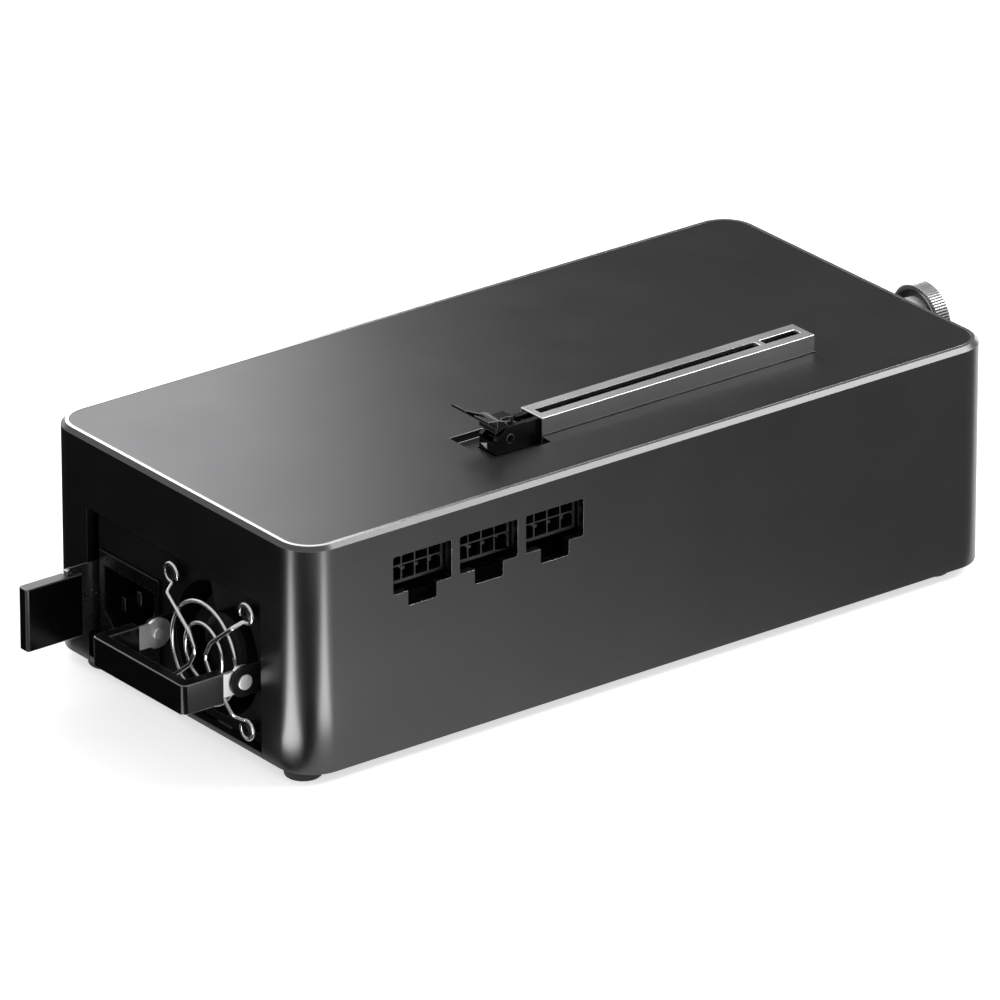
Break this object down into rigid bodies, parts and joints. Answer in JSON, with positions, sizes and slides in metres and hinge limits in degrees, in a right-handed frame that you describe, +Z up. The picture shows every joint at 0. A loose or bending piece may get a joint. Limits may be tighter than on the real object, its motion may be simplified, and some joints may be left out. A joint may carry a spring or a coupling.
{
  "type": "card expansion chassis",
  "caption": "Low metal box with an open card slot and latch on top, a row of power sockets, a knurled bracket screw and a pull-out power supply with fan, handle and latch.",
  "frame": {"origin": "middle of the whole object, on the surface that its feet stand on", "axes": "+X along the box from the power supply's end to the bracket screw's end, +Y from the socket side to the host port's side, +Z up"},
  "size_m": [0.2554, 0.11, 0.0755],
  "materials": {
    "body_aluminium": "bead-blasted, dark grey anodised",
    "panel_aluminium": "bead-blasted, dark grey anodised",
    "bright_steel": "smooth, bright",
    "chromed_wire": "polished",
    "knurled_metal": "turned, knurled",
    "black_steel": "black satin paint",
    "black_plastic": "black, fine texture",
    "black_gloss": "black, smooth",
    "foot_rubber": "matt",
    "board_laminate": "dark solder mask",
    "contact_brass": "gold plated",
    "copper": "copper coloured"
  },
  "bodies": {
    "chassis": {"shell": "body_aluminium", "top_panel": "panel_aluminium", "bottom_plate": "body_aluminium", "bottom_screws": "bright_steel", "feet": "foot_rubber", "main_board": "board_laminate", "board_standoffs": "bright_steel", "board_screws": "bright_steel", "slot_housing": "black_plastic", "slot_cladding": "bright_steel", "slot_contacts": "contact_brass", "power_header_1": "black_plastic", "power_header_2": "black_plastic", "power_header_3": "black_plastic", "header_pins": "bright_steel", "signal_chip": "black_plastic", "board_capacitors": "bright_steel", "host_port_shell": "bright_steel", "host_port_tongue": "black_plastic", "backplane": "board_laminate", "supply_receptacle": "black_plastic", "bus_bars": "copper", "guide_rails": "bright_steel", "bracket_bush": "bright_steel"},
    "card_latch": {"retention_lever": "black_plastic"},
    "washer": {"screw_washer": "black_plastic"},
    "screw": {"bracket_screw": "knurled_metal"},
    "supply": {"supply_tray": "black_steel", "supply_cover": "black_steel", "cover_screws": "bright_steel", "inlet_body": "black_plastic", "inlet_pins": "bright_steel", "fan_frame": "black_plastic", "fan_guard": "chromed_wire", "fan_screws": "black_steel", "handle_rivets": "bright_steel", "latch_anchor": "bright_steel", "supply_board": "board_laminate", "edge_contacts": "contact_brass", "bulk_capacitors": "black_plastic", "transformer": "copper", "heat_sinks": "body_aluminium"},
    "fan": {"fan_rotor": "black_plastic"},
    "handle": {"handle_grip": "black_gloss", "handle_straps": "bright_steel"},
    "supply_latch": {"latch_strip": "bright_steel", "latch_blade": "black_gloss"}
  },
  "joints": [
    {"name": "supply_slide", "type": "slide", "parent": "chassis", "child": "supply", "axis": [-1, 0, 0], "range_m": [0, 0.195]},
    {"name": "card_latch_tilt", "type": "hinge", "parent": "chassis", "child": "card_latch", "pos_m": [-0.0222, -0.0285, 0.0669], "axis": [0, -1, 0], "range_deg": [0, 22]},
    {"name": "supply_latch_flex", "type": "hinge", "parent": "supply", "child": "supply_latch", "pos_m": [-0.0813, 0.0363, 0.0215], "axis": [0, 0, 1], "range_deg": [0, 3.4], "stiffness_Nm_per_rad": 1, "springref_deg": -1.15},
    {"name": "handle_swing", "type": "hinge", "parent": "supply", "child": "handle", "pos_m": [-0.1083, -0.0152, 0.0241], "axis": [0, -1, 0], "range_deg": [-80, 80]},
    {"name": "fan_spin", "type": "hinge", "parent": "supply", "child": "fan", "pos_m": [-0.0927, -0.0152, 0.0249], "axis": [1, 0, 0], "continuous": true},
    {"name": "screw_travel", "type": "slide", "parent": "chassis", "child": "washer", "axis": [1, 0, 0], "range_m": [0, 0.004]},
    {"name": "screw_turn", "type": "hinge", "parent": "washer", "child": "screw", "pos_m": [0.1237, -0.0171, 0.0568], "axis": [1, 0, 0], "range_deg": [0, 1800]}
  ],
  "couplings": [
    {"joint": "screw_travel", "follows": "screw_turn", "m_per_rad": 0.00012732}
  ]
}
